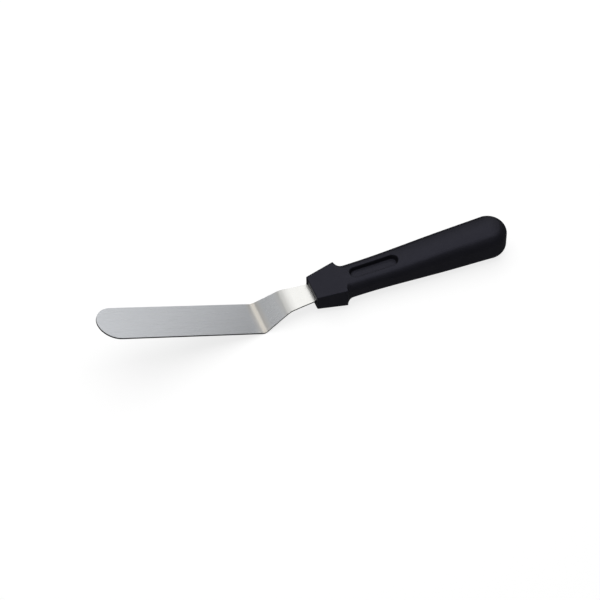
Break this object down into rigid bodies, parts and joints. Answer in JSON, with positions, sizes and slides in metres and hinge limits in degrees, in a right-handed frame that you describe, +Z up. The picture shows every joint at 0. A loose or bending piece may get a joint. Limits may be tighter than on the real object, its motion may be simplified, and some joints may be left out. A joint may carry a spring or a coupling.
{
  "type": "offset spatula",
  "caption": "Small offset spatula: a round-tipped steel blade, cranked up at the heel, with its tang moulded into a black plastic handle with a faceted collar and thumb grooves.",
  "frame": {"origin": "on the table, under the middle of the object's bounding box, as it lies on the blade's heel and the handle's butt", "axes": "+X from the blade's tip to the handle's butt, +Y across the blade, +Z up from the table"},
  "size_m": [0.2304, 0.0224, 0.0356],
  "materials": {
    "stainless_steel": "fine satin, brushed lengthwise on smooth rolled sheet",
    "black_plastic": "matt moulded polypropylene with a fine grain",
    "core_plastic": "plain moulded polypropylene, never seen"
  },
  "bodies": {
    "root": {"blade": "stainless_steel", "handle_core": "core_plastic", "handle_grip": "black_plastic"}
  },
  "joints": []
}
